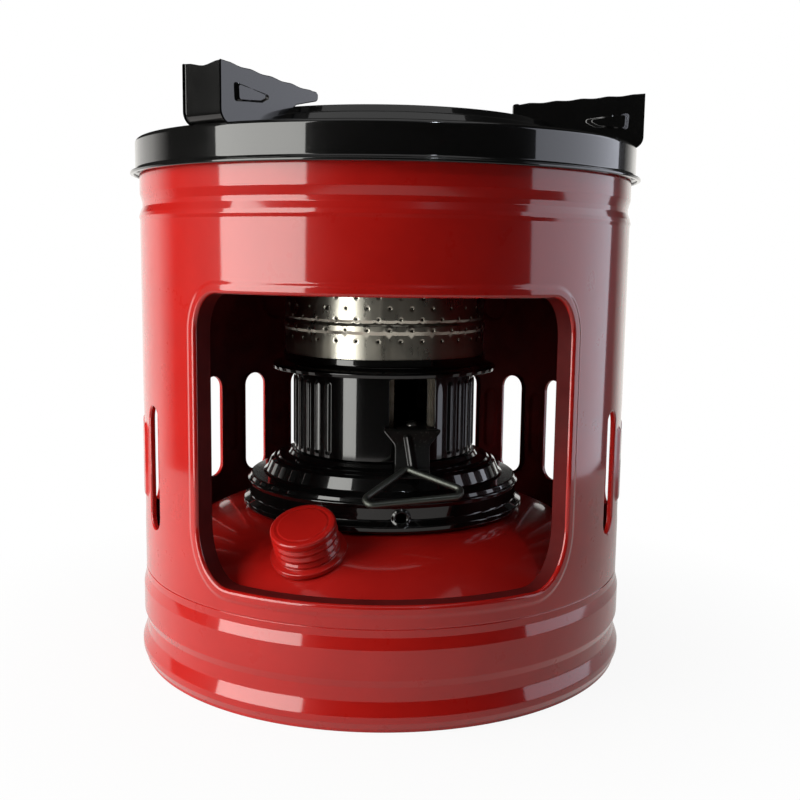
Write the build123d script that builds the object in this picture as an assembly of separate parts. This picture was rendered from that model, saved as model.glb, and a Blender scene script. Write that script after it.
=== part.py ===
from build123d import *
import math
import os

# Round multi-wick kerosene heater and stove.  Millimetres, +Z up, origin on the vertical
# axis at the level of the foot.  The window faces -Y.  Azimuths are counted about +Z from
# the window, positive towards +X, so a feature is drawn at the front and then turned.

# ---- driving dimensions -------------------------------------------------------------
CASING_R = 118.0            # outside of the red casing
SHEET = 0.8                 # casing, tank and burner sheet
COVER_SHEET = 0.9
CASING_TOP = 244.4
SEAM_Z = 42.4               # joint between base shell and casing

WINDOW_HALF_ANGLE = 42.3
WINDOW_LOW = 53.8
WINDOW_HIGH = 177.8
WINDOW_TOP_CORNER = 17.0
WINDOW_LOW_CORNER = 25.0
WINDOW_FLANGE = 9.0         # how far its edge is turned inwards

SLOT_PITCH = 15.45          # degrees
SLOT_FIRST = 62.3
SLOTS_PER_SIDE = 8
SLOT_WIDTH = 13.6
SLOT_LOW = 68.0
SLOT_HIGH = 125.0
RIB_WIDTH = 8.5
RIB_LOW = 80.0
RIB_HIGH = 116.0
RIB_HEIGHT = 1.2

TANK_TOP_Z = 70.0
TANK_FLAT_R = 65.0
TANK_EDGE_R = 112.5
TANK_EDGE_Z = 47.4
TANK_WALL_R = 108.0
TANK_SEAM_R = 115.8
TANK_SEAM_Z = 44.8
TANK_FLOOR_Z = 7.2

FILLER_AZIMUTH = -21.6
FILLER_R = 86.3
FILLER_Z = 64.8             # centre of the cap's lower face
FILLER_TILT = 25.5
NECK_R = 12.6
NECK_TOP = 12.6             # above the cap's lower face, along the filler axis
CAP_HEIGHT = 16.0

BODY_R = 44.7               # burner body between its flutes
BODY_LOW = 97.9
BODY_HIGH = 138.8
FLUTE_PITCH = 9.0
HEAD_Z = 139.0              # underside of the burner head plate
HEAD_SHEET = 0.8
AIR_HOLE_R = 21.0

WICK_COUNT = 10
WICK_FIRST = 3.0
WICK_CIRCLE = 37.5
WICK_R = 3.1
TUBE_OUTER_R = 3.9
TUBE_INNER_R = 3.4
WICK_LOW = 12.0
WICK_HIGH = 143.0
UPPER_TUBE_LOW = 137.0
UPPER_TUBE_HIGH = 151.0
LOWER_TUBE_LOW = 60.0
LOWER_TUBE_HIGH = 104.0

ROD_COUNT = 3
ROD_FIRST = 75.0
ROD_CIRCLE = 27.0
ROD_R = 2.0
ROD_TOP = 144.0
ROD_CLEARANCE = 0.08

CARRIER_LOW = 112.4
CARRIER_SHEET = 1.2
LEVER_X = 13.3
LEVER_SHEET = 1.2
LEVER_Z = CARRIER_LOW + CARRIER_SHEET + LEVER_SHEET / 2
LEVER_RIVETS = (28.0, 35.5) # distances of the two rivets from the axis plane
LEVER_RIVET_R = 1.5
HANDLE_WIRE_R = 1.6
HANDLE_DROOP = 30.0
HANDLE_SKEW = 9.2
HANDLE_BASE = 55.0
HANDLE_LENGTH = 21.4
HANDLE_TIP = (10.6, -60.0, 98.5)    # where the two arms of the wire loop meet

SLEEVE_R = 49.3
INNER_SLEEVE_R = 32.6
SLEEVE_SHEET = 0.5
SLEEVE_LOW = HEAD_Z + HEAD_SHEET + 0.1
SLEEVE_HIGH = 240.0
PIN_Z = 205.0
PIN_R = 1.5

COVER_WALL_R = 119.8
COVER_TOP = 245.7
COVER_BEAD_R = 122.3
COVER_LOW = 229.5
FLAME_OPENING_R = 60.0

SUPPORT_AZIMUTHS = (-37.0, 83.0, -157.0)
SUPPORT_INNER_R = 61.0
SUPPORT_OUTER_R = 121.0
SUPPORT_WIDTH = 22.0
SUPPORT_SHEET = 1.0
SUPPORT_LOW = 246.5
SUPPORT_HIGH = 270.5
SUPPORT_PIVOT_R = 104.0
RIVET_R = 2.5
RIVET_CLEARANCE = 0.08

REACH = 300.0               # longer than anything it cuts


# ---- helpers ------------------------------------------------------------------------
def turned(shape, azimuth):
    """A front feature moved round to an azimuth."""
    return Rot(0, 0, azimuth) * shape


def tube(outer, inner, low, high):
    """An upright tube on the main axis, or a plain disc when inner is 0."""
    section = Circle(outer) - Circle(inner) if inner else Circle(outer)
    return Pos(0, 0, low) * extrude(section, high - low)


def front_tube(radius, outer, inner, low, high):
    """An upright tube whose own axis is at the front, on a circle of the given radius."""
    return Pos(0, -radius, 0) * tube(outer, inner, low, high)


def sheet_section(points, radii, thickness):
    """Section of a sheet whose outer line runs through points, with the metal on its right.

    A negative thickness puts the metal on the left.  Both skins of a bend share a centre.
    """
    steps = [Vector(*b) - Vector(*a) for a, b in zip(points, points[1:])]
    headings = [step.normalized() for step in steps]
    inner = []
    inner_radii = []
    for index, point in enumerate(points):
        before = headings[max(index - 1, 0)]
        after = headings[min(index, len(headings) - 1)]
        right = Vector(before.Y + after.Y, -before.X - after.X)
        inner.append(Vector(*point) + right * (thickness / (1 + before.dot(after))))
        if 0 < index < len(points) - 1:
            turn = before.X * after.Y - before.Y * after.X
            radius = radii[index - 1]
            inner_radii.append(max(radius + math.copysign(thickness, turn * thickness), 0))
    corners = [Vector(*point) for point in points] + inner[::-1]
    all_radii = [0] + list(radii) + [0, 0] + inner_radii[::-1] + [0]
    return make_face(FilletPolyline(*corners, radius=all_radii, close=True))


def spun(points, radii, thickness):
    """The section turned about the axis, its points being (radius, height)."""
    if isinstance(radii, float):
        radii = [radii] * (len(points) - 2)
    return revolve(Plane.XZ * sheet_section(points, radii, thickness), Axis.Z, 360)


def obround(width, low, high, near, depth):
    """An upright slot-shaped prism at the front, from radius near outwards."""
    outline = Pos(0, (low + high) / 2) * SlotOverall(high - low, width, rotation=90)
    return extrude(Plane.XZ.offset(near) * outline, depth)


def around(shape, count, first):
    """Equally spaced copies of a front feature, as a list."""
    return [turned(shape, first + index * 360 / count) for index in range(count)]


def save(node, shape):
    """Write one node, as one solid or as a group of separate solids."""
    solids = shape if isinstance(shape, list) else shape.solids()
    whole = solids[0] if len(solids) == 1 else Compound(children=list(solids))
    whole.label = node
    export_step(whole, os.path.join("parts", node + ".step"))


# ---- casing -------------------------------------------------------------------------
def make_base_shell():
    points = [
        (CASING_R, SEAM_Z), (CASING_R, 41.0), (CASING_R + 0.9, 35.0),
        (CASING_R + 0.9, 22.0), (CASING_R, 19.0), (CASING_R, 13.0),
        (CASING_R + 2.2, 7.0), (CASING_R + 2.2, 4.4), (CASING_R + 0.8, 1.2),
        (CASING_R + 0.8, 0.0),
    ]
    return spun(points, 0.9, SHEET)


def window_cutter(margin):
    """The window opening, its sides running to the axis, grown by a margin."""
    sections = []
    for depth in (75.0, 125.0):
        half = depth * math.tan(math.radians(WINDOW_HALF_ANGLE)) + margin
        corners = [
            (-half, WINDOW_HIGH + margin), (half, WINDOW_HIGH + margin),
            (half, WINDOW_LOW - margin), (-half, WINDOW_LOW - margin),
        ]
        top = WINDOW_TOP_CORNER + margin
        low = WINDOW_LOW_CORNER + margin
        outline = FilletPolyline(*corners, radius=[top, top, low, low], close=True)
        sections.append(Plane.XZ.offset(depth) * make_face(outline))
    return loft(sections)


def make_outer_casing():
    lap_r = CASING_R - SHEET - 0.1
    points = [
        (CASING_R, CASING_TOP), (CASING_R, 221.0), (CASING_R - 1.1, 217.0),
        (CASING_R - 1.1, 215.0), (CASING_R, 212.0), (CASING_R + 0.4, 210.3),
        (CASING_R, 208.6), (CASING_R, SEAM_Z + 1.8), (lap_r, SEAM_Z - 0.2), (lap_r, 37.0),
    ]
    shell = spun(points, 0.6, SHEET)
    slots = []
    proud = []
    slot = obround(SLOT_WIDTH, SLOT_LOW, SLOT_HIGH, CASING_R - 8, 16)
    rib = obround(RIB_WIDTH, RIB_LOW, RIB_HIGH, CASING_R - 8, 16)
    boss = extrude(Plane.XZ.offset(CASING_R - 8) * (Pos(0, 165.0) * Circle(8.5)), 16)
    for side in (-1, 1):
        for index in range(SLOTS_PER_SIDE):
            azimuth = side * (SLOT_FIRST + index * SLOT_PITCH)
            slots.append(turned(slot, azimuth))
            if index < SLOTS_PER_SIDE - 1:
                proud.append(turned(rib, azimuth + side * SLOT_PITCH / 2))
        proud.append(turned(boss, side * 147.0))
    skin = tube(CASING_R + RIB_HEIGHT, CASING_R - 0.4, 60.0, 180.0)
    shell = shell - slots - window_cutter(0)
    shell = shell + [skin & pad for pad in proud]
    flange_zone = tube(CASING_R - 0.4, CASING_R - WINDOW_FLANGE, 40.0, 200.0)
    flange = (window_cutter(SHEET) - window_cutter(0)) & flange_zone
    return shell + flange


# ---- tank ---------------------------------------------------------------------------
def filler_plane():
    """Local frame of the filler: origin under the cap, Z along the tilted neck."""
    across = math.radians(FILLER_AZIMUTH)
    tilt = math.radians(FILLER_TILT)
    outward = Vector(math.sin(across), -math.cos(across), 0)
    axis = outward * math.sin(tilt) + Vector(0, 0, math.cos(tilt))
    origin = outward * FILLER_R + Vector(0, 0, FILLER_Z)
    return Plane(origin=origin, x_dir=(math.cos(across), math.sin(across), 0), z_dir=axis)


def make_tank_top():
    points = [
        (0, TANK_TOP_Z), (TANK_FLAT_R, TANK_TOP_Z), (88.5, 65.6), (TANK_EDGE_R, TANK_EDGE_Z),
        (TANK_EDGE_R + 1.2, TANK_SEAM_Z + SHEET), (TANK_SEAM_R, TANK_SEAM_Z + SHEET),
    ]
    dome_shell = spun(points, [20.0, 80.0, 0.6, 0.3], SHEET)
    tube_hole = front_tube(WICK_CIRCLE, TUBE_OUTER_R, 0, 60.0, 80.0)
    neck_hole = filler_plane() * tube(NECK_R, 0, -20.0, 20.0)
    return dome_shell - around(tube_hole, WICK_COUNT, WICK_FIRST) - neck_hole


def make_tank_bottom():
    points = [
        (0, TANK_FLOOR_Z), (TANK_WALL_R, TANK_FLOOR_Z), (TANK_WALL_R, TANK_SEAM_Z - SHEET),
        (TANK_SEAM_R, TANK_SEAM_Z - SHEET),
    ]
    return spun(points, [3.0, 1.0], -SHEET)


def make_tank_brackets():
    shelf_top = TANK_SEAM_Z - SHEET
    leg_r = CASING_R - 2 * SHEET - 0.2
    shelf = tube(leg_r, TANK_WALL_R + 2.0, shelf_top - 1.2, shelf_top)
    leg = tube(leg_r, leg_r - 1.2, 26.0, shelf_top)
    width = Pos(0, -CASING_R, 30.0) * Box(18.0, 30.0, 40.0)
    return around((shelf + leg) & width, 3, 60.0)


def make_filler_neck():
    return filler_plane() * tube(NECK_R, NECK_R - 1.0, -4.5, NECK_TOP)


def make_filler_cap():
    ridge = 14.7
    groove = 13.8
    points = [
        (0, CAP_HEIGHT), (14.5, CAP_HEIGHT), (14.5, 12.9), (groove, 12.1), (ridge, 10.4),
        (groove, 8.7), (ridge, 6.9), (groove, 5.3), (ridge, 3.9), (14.2, 2.6), (16.9, 1.7),
        (17.1, 0),
    ]
    radii = [1.4, 0.3, 0.3, 0.6, 0.4, 0.6, 0.4, 0.4, 0.3, 0.5]
    return filler_plane() * spun(points, radii, 0.7)


def make_cap_seal():
    return filler_plane() * tube(NECK_R + 0.2, 6.0, NECK_TOP + 0.3, CAP_HEIGHT - 1.0)


# ---- burner -------------------------------------------------------------------------
def make_burner_base():
    points = [
        (41.5, 97.8), (46.2, 97.8), (47.4, 95.6), (52.6, 95.2), (53.4, 94.2), (55.2, 94.0),
        (56.6, 92.8), (58.8, 87.2), (60.4, 86.5), (66.3, 86.2), (67.3, 84.3), (68.2, 83.5),
        (67.3, 81.6), (67.1, 76.0), (70.1, 73.6), (70.1, 71.4), (68.6, TANK_TOP_Z + 0.1),
        (63.0, TANK_TOP_Z + 0.1),
    ]
    pan = spun(points, 0.3, SHEET)
    air_hole = extrude(Plane.XZ.offset(60.0) * (Pos(0, 77.0) * Circle(2.3)), 20)
    return pan - turned(air_hole, 7.2)


def make_burner_body():
    wall = BODY_R - SHEET
    shell = tube(BODY_R, wall, BODY_LOW, BODY_HIGH)
    rims = tube(BODY_R, 42.4, BODY_LOW, BODY_LOW + SHEET)
    rims += tube(BODY_R, 42.4, BODY_HIGH - SHEET, BODY_HIGH)
    flute = front_tube(43.9, 1.6, 0, 100.0, 135.0)
    first, last = 5, 36
    flutes = [turned(flute, index * FLUTE_PITCH) for index in range(first, last + 1)]
    inside = tube(wall, 0, BODY_LOW + SHEET, BODY_HIGH - SHEET)
    slot = Pos(LEVER_X + 0.7, -45.0, 125.6) * Box(21.2, 30.0, 24.8)
    return shell + rims + flutes - inside - slot


def make_burner_head():
    plate = tube(54.7, AIR_HOLE_R, HEAD_Z, HEAD_Z + HEAD_SHEET)
    tube_hole = front_tube(WICK_CIRCLE, TUBE_OUTER_R, 0, 130.0, 150.0)
    rod_hole = front_tube(ROD_CIRCLE, ROD_R, 0, 130.0, 150.0)
    plate -= around(tube_hole, WICK_COUNT, WICK_FIRST)
    return plate - around(rod_hole, ROD_COUNT, ROD_FIRST)


def make_sleeve_seat():
    wall = SLEEVE_R + 0.3 + SHEET
    points = [(wall, 146.2), (wall, 143.2), (55.0, 141.2), (55.8, 140.4), (55.5, 138.9)]
    return spun(points, 0.5, SHEET)


def make_sleeve_shells():
    points = [
        (50.8, SLEEVE_HIGH + 0.8), (SLEEVE_R, SLEEVE_HIGH), (SLEEVE_R, 164.0), (48.7, 163.2),
        (49.9, 162.2), (49.9, 159.4), (SLEEVE_R, 158.2), (SLEEVE_R, SLEEVE_LOW),
    ]
    outer = spun(points, 0.2, SLEEVE_SHEET)
    inner = tube(INNER_SLEEVE_R, INNER_SLEEVE_R - SLEEVE_SHEET, SLEEVE_LOW, SLEEVE_HIGH - 4)
    pins = around(pin_rod(PIN_R), 3, 0.0)
    return outer - pins, inner - pins


def pin_rod(radius):
    """A level pin through both sleeves at the front."""
    return extrude(Plane.XZ.offset(31.0) * (Pos(0, PIN_Z) * Circle(radius)), 19.6)


def make_flame_spreader():
    lip = INNER_SLEEVE_R + 0.1 + 0.6
    points = [(0, 244.0), (10.0, 244.0), (27.0, 241.5), (lip, 237.0), (lip, 231.0)]
    return spun(points, [20.0, 6.0, 1.5], 0.6)


# ---- wick lift ----------------------------------------------------------------------
def make_wick_carrier():
    high = CARRIER_LOW + CARRIER_SHEET
    plate = tube(42.0, 22.0, CARRIER_LOW, high)
    wick_hole = front_tube(WICK_CIRCLE, WICK_R, 0, 100.0, 120.0)
    collar = front_tube(WICK_CIRCLE, WICK_R + 1.1, WICK_R, CARRIER_LOW - 5.5, CARRIER_LOW)
    rod_hole = front_tube(ROD_CIRCLE, ROD_R + ROD_CLEARANCE, 0, 100.0, 120.0)
    plate -= around(wick_hole, WICK_COUNT, WICK_FIRST)
    plate -= around(rod_hole, ROD_COUNT, ROD_FIRST)
    plate -= [rivet_shank(depth) for depth in LEVER_RIVETS]
    return plate + around(collar, WICK_COUNT, WICK_FIRST)


def rivet_shank(depth):
    return Pos(LEVER_X, -depth, 0) * tube(LEVER_RIVET_R, 0, CARRIER_LOW - 1.0, LEVER_Z + 1.7)


def make_lever_rivets():
    rivets = []
    for depth in LEVER_RIVETS:
        low_head = Pos(LEVER_X, -depth, 0) * tube(2.7, 0, CARRIER_LOW - 1.0, CARRIER_LOW)
        high_z = LEVER_Z + LEVER_SHEET / 2
        high_head = Pos(LEVER_X, -depth, 0) * tube(2.7, 0, high_z, high_z + 1.1)
        rivets.append(rivet_shank(depth) + low_head + high_head)
    return rivets


def make_wick_lever():
    path = FilletPolyline(
        (-46.1, LEVER_Z), (-48.8, LEVER_Z), (-57.6, 97.6), (-62.6, 94.7), radius=[1.5, 4.0],
    )
    strip = extrude(Plane.YZ * trace(path, LEVER_SHEET), REACH / 2, both=True)
    half_flare, half_neck = 12.6, 7.4
    outline = [
        (half_flare, 118.0), (half_flare, 113.6), (half_neck, 107.8), (half_neck, 90.0),
        (-half_neck, 90.0), (-half_neck, 107.8), (-half_flare, 113.6), (-half_flare, 118.0),
    ]
    front = FilletPolyline(*outline, radius=[0.1, 0.8, 4.0, 0.1, 0.1, 4.0, 0.8, 0.1], close=True)
    plate = strip & (Pos(LEVER_X, 0, 0) * extrude(Plane.XZ.offset(40.0) * make_face(front), 40))
    tongue = Pos(LEVER_X, -35.6, LEVER_Z) * Box(13.0, 21.2, LEVER_SHEET)
    return plate + tongue - [rivet_shank(depth) for depth in LEVER_RIVETS]


def make_lever_handle():
    """A triangular wire loop, brazed by its tip to the end of the lever."""
    droop = math.radians(HANDLE_DROOP)
    normal = (0, -math.sin(droop), math.cos(droop))
    loop_plane = Plane(origin=HANDLE_TIP, x_dir=(1, 0, 0), z_dir=normal)
    half = HANDLE_BASE / 2
    corners = [(0, 0), (half, -HANDLE_LENGTH), (-half, -HANDLE_LENGTH)]
    loop = loop_plane * (Rot(0, 0, HANDLE_SKEW) * FilletPolyline(*corners, radius=3.3, close=True))
    start = loop.edges()[0]
    profile = Plane(origin=start @ 0.5, z_dir=start % 0.5) * Circle(HANDLE_WIRE_R)
    return sweep(profile, path=Wire(loop.edges()))


# ---- cover and pot supports ---------------------------------------------------------
def make_top_cover():
    points = [
        (FLAME_OPENING_R, 252.0), (FLAME_OPENING_R, 255.6), (76.8, 256.6), (79.0, 253.5),
        (81.5, 253.0), (88.0, COVER_TOP), (COVER_WALL_R, COVER_TOP), (COVER_WALL_R, 231.4),
        (COVER_BEAD_R, 231.0), (COVER_BEAD_R, COVER_LOW),
    ]
    cover = spun(points, [1.3, 1.3, 0.7, 1.0, 2.0, 2.0, 0.4, 0.6], COVER_SHEET)
    hole = front_tube(SUPPORT_PIVOT_R, RIVET_R, 0, COVER_TOP - 10, COVER_TOP + 10)
    return cover - [turned(hole, azimuth) for azimuth in SUPPORT_AZIMUTHS]


def make_support_rivets():
    head = SUPPORT_LOW + SUPPORT_SHEET + 0.3
    under = COVER_TOP - COVER_SHEET
    rivet = front_tube(SUPPORT_PIVOT_R, RIVET_R, 0, under - 1.6, head + 1.8)
    rivet += front_tube(SUPPORT_PIVOT_R, 5.0, 0, under - 1.6, under)
    rivet += front_tube(SUPPORT_PIVOT_R, 5.0, 0, head, head + 1.8)
    return [turned(rivet, azimuth) for azimuth in SUPPORT_AZIMUTHS]


def make_support_washers():
    washer = front_tube(SUPPORT_PIVOT_R, 7.0, RIVET_R, COVER_TOP, SUPPORT_LOW - 0.1)
    return [turned(washer, azimuth) for azimuth in SUPPORT_AZIMUTHS]


def make_pot_support():
    """One support at the front: two side walls, a web on the rivet and a closed outer end."""
    side = [
        (SUPPORT_OUTER_R, SUPPORT_HIGH), (SUPPORT_OUTER_R, SUPPORT_LOW), (93.5, SUPPORT_LOW),
        (78.5, 257.4), (SUPPORT_INNER_R, 260.6), (SUPPORT_INNER_R, 264.6),
    ]
    outline = FilletPolyline(*side, radius=[1.5, 4.0, 0.5, 2.0, 1.0, 1.5], close=True)
    solid = extrude(Plane.YZ * (Rot(0, 180, 0) * make_face(outline)), SUPPORT_WIDTH / 2, both=True)
    inner_width = SUPPORT_WIDTH - 2 * SUPPORT_SHEET
    hollow_low = SUPPORT_LOW + SUPPORT_SHEET
    outer_inside = SUPPORT_OUTER_R - SUPPORT_SHEET
    channel = Pos(0, -outer_inside / 2, hollow_low + REACH / 2) * Box(inner_width, outer_inside, REACH)
    channel += Pos(0, -45.0, SUPPORT_LOW) * Box(inner_width, 94.0, 40.0)
    support = solid - channel
    notch_pitch = 12.0
    notch = extrude(Plane.YZ * Circle(9.0), SUPPORT_WIDTH, both=True)
    slope = (SUPPORT_HIGH - 264.6) / (SUPPORT_OUTER_R - SUPPORT_INNER_R)
    for index in range(4):
        radius = SUPPORT_OUTER_R - notch_pitch * (index + 0.9)
        height = SUPPORT_HIGH - slope * (SUPPORT_OUTER_R - radius) + 8.4
        support -= Pos(0, -radius, height) * notch
    pivot = front_tube(SUPPORT_PIVOT_R, RIVET_R + RIVET_CLEARANCE, 0, 240.0, 250.0)
    return support - pivot


# ---- all nodes ----------------------------------------------------------------------
os.makedirs("parts", exist_ok=True)

save("base_shell", make_base_shell())
save("outer_casing", make_outer_casing())
save("tank_top", make_tank_top())
save("tank_bottom", make_tank_bottom())
save("tank_brackets", make_tank_brackets())
save("filler_neck", make_filler_neck())
save("filler_cap", make_filler_cap())
save("cap_seal", make_cap_seal())

save("burner_base", make_burner_base())
save("burner_body", make_burner_body())
save("burner_head", make_burner_head())
save("sleeve_seat", make_sleeve_seat())
lower_tube = front_tube(WICK_CIRCLE, TUBE_OUTER_R, TUBE_INNER_R, LOWER_TUBE_LOW, LOWER_TUBE_HIGH)
save("wick_tubes_lower", around(lower_tube, WICK_COUNT, WICK_FIRST))
upper_tube = front_tube(WICK_CIRCLE, TUBE_OUTER_R, TUBE_INNER_R, UPPER_TUBE_LOW, UPPER_TUBE_HIGH)
save("wick_tubes_upper", around(upper_tube, WICK_COUNT, WICK_FIRST))
rod = front_tube(ROD_CIRCLE, ROD_R, 0, TANK_TOP_Z, ROD_TOP)
rod += front_tube(ROD_CIRCLE, 4.0, 0, TANK_TOP_Z, TANK_TOP_Z + 3.5)
save("guide_rods", around(rod, ROD_COUNT, ROD_FIRST))
nut = extrude(RegularPolygon(3.5, 6, major_radius=False) - Circle(ROD_R), 3.2)
nut = Pos(0, -ROD_CIRCLE, HEAD_Z + HEAD_SHEET) * nut
save("rod_nuts", around(nut, ROD_COUNT, ROD_FIRST))

outer_sleeve, inner_sleeve = make_sleeve_shells()
save("outer_sleeve", outer_sleeve)
save("inner_sleeve", inner_sleeve)
save("flame_spreader", make_flame_spreader())
save("cross_pins", around(pin_rod(PIN_R), 3, 0.0))

save("wick_carrier", make_wick_carrier())
save("wicks", around(front_tube(WICK_CIRCLE, WICK_R, 0, WICK_LOW, WICK_HIGH), WICK_COUNT, WICK_FIRST))
save("wick_lever", make_wick_lever())
save("lever_rivets", make_lever_rivets())
save("lever_handle", make_lever_handle())

save("top_cover", make_top_cover())
save("support_rivets", make_support_rivets())
save("support_washers", make_support_washers())
support = make_pot_support()
for number, azimuth in enumerate(SUPPORT_AZIMUTHS, start=1):
    save("pot_support_%d" % number, turned(support, azimuth))
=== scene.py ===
"""Round kerosene wick heater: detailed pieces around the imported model, in its frame."""
import math
from bisect import bisect_right

import bpy
import numpy as np
from mathutils import Matrix, Vector
from mathutils.geometry import delaunay_2d_cdt

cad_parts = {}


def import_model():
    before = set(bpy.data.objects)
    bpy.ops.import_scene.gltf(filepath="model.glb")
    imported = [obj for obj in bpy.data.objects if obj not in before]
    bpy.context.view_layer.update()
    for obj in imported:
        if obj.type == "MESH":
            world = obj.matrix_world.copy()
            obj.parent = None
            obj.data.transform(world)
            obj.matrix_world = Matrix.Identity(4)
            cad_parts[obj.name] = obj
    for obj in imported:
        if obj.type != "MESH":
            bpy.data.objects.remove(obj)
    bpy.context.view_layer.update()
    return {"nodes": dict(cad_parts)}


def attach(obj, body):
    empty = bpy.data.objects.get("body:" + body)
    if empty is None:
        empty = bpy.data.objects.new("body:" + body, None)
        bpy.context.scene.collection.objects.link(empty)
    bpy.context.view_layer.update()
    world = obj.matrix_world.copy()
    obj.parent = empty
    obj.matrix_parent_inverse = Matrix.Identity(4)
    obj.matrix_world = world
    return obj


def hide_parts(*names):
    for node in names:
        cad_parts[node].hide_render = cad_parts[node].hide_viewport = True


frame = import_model()
NODES = frame["nodes"]

MM = 0.001
UP = Vector((0, 0, 1))
X = Vector((1, 0, 0))


# ---- lines and outlines, in millimetres ----------------------------------------------
def rounded_line(points, radii, side=1, chord=1.2, longest=1e9):
    """A polyline with rounded corners, as rows (x, y, nx, ny, tx, ty).

    The normal lies left of travel for side 1 and right of it for side -1.
    """
    points = [Vector(p) for p in points]
    if isinstance(radii, (int, float)):
        radii = [radii] * (len(points) - 2)
    rows = []

    def emit(p, heading):
        normal = Vector((-heading.y, heading.x)) * side
        if rows and (Vector(rows[-1][:2]) - p).length < 1e-4:
            return
        if rows:
            last = Vector(rows[-1][:2])
            gap = (p - last).length
            for k in range(1, int(gap / longest) + 1):
                q = last.lerp(p, k / (int(gap / longest) + 1))
                rows.append((*q, *normal, *heading))
        rows.append((*p, *normal, *heading))

    headings = [(b - a).normalized() for a, b in zip(points, points[1:])]
    emit(points[0], headings[0])
    for i, radius in enumerate(radii, 1):
        before, after = headings[i - 1], headings[i]
        turn = math.atan2(before.x * after.y - before.y * after.x, before.dot(after))
        room = 0.48 * min((points[i] - points[i - 1]).length, (points[i + 1] - points[i]).length)
        reach = min(radius * abs(math.tan(turn / 2)), room)
        radius = reach / max(abs(math.tan(turn / 2)), 1e-6)
        start = points[i] - before * reach
        steps = max(2, int(abs(turn) / math.radians(14)) + 1, int(radius * abs(turn) / chord))
        way = 1 if turn > 0 else -1
        centre = start + Vector((-before.y, before.x)) * radius * way
        for k in range(steps + 1):
            angle = turn * k / steps
            heading = Matrix.Rotation(angle, 2) @ before
            emit(centre - Vector((-heading.y, heading.x)) * radius * way, heading)
    emit(points[-1], headings[-1])
    return rows


def outline_normals(points):
    """Closed outline points (s, t) as rows (s, t, ns, nt), the normal pointing away from the middle."""
    points = [Vector(p) for p in points]
    count = len(points)
    middle = sum(points, Vector((0, 0))) / count
    rows = []
    for i, p in enumerate(points):
        run = (points[(i + 1) % count] - points[i - 1]).normalized()
        normal = Vector((run.y, -run.x))
        if normal.dot(p - middle) < 0:
            normal = -normal
        rows.append((p.x, p.y, normal.x, normal.y))
    return rows


def rounded_box(cs, ct, half_s, half_t, radius, step=3.0, arc=8):
    """A rectangle with round corners, an obround or a circle, as outline rows."""
    rows = []
    for index, (sx, sy) in enumerate(((1, 1), (-1, 1), (-1, -1), (1, -1))):
        cx, cy = sx * (half_s - radius), sy * (half_t - radius)
        for k in range(arc + 1):
            a = math.radians(90 * index + 90 * k / arc)
            row = (cs + cx + radius * math.cos(a), ct + cy + radius * math.sin(a),
                   math.cos(a), math.sin(a))
            if rows:
                gap = math.dist(row[:2], rows[-1][:2])
                if gap < 1e-4:
                    continue
                if k == 0:
                    add_between(rows, row, step)
            rows.append(row)
    if math.dist(rows[0][:2], rows[-1][:2]) < 1e-4:
        rows.pop()
    else:
        add_between(rows, rows[0], step)
    return rows


def add_between(rows, row, step):
    first = rows[-1]
    parts = int(math.dist(first[:2], row[:2]) / step)
    for k in range(1, parts + 1):
        f = k / (parts + 1)
        rows.append((first[0] + (row[0] - first[0]) * f, first[1] + (row[1] - first[1]) * f,
                     first[2], first[3]))


# ---- edges of a sheet: rows (beyond the edge, depth below the skin, normal, normal) ----
def lip(thick, steps=4):
    rows = []
    for k in range(1, steps):
        a = math.pi * k / steps
        rows.append((thick / 2 * math.sin(a), thick / 2 * (1 - math.cos(a)), math.sin(a), math.cos(a)))
    return rows


def flange(thick, bend, depth, steps=5):
    """An edge turned down through 90 degrees, and back up its other face."""
    inner = max(bend - thick, 0.15)
    half = thick / 2
    rows = []
    for k in range(1, steps + 1):
        a = math.pi / 2 * k / steps
        rows.append((bend * math.sin(a), bend * (1 - math.cos(a)), math.sin(a), math.cos(a)))
    for k in range(0, 5):
        a = math.pi * k / 4
        rows.append((bend - half + half * math.cos(a), depth - half + half * math.sin(a),
                     math.cos(a), -math.sin(a)))
    for k in range(steps, 0, -1):
        a = math.pi / 2 * k / steps
        rows.append((inner * math.sin(a), thick + inner * (1 - math.cos(a)), -math.sin(a), -math.cos(a)))
    return rows


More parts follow.
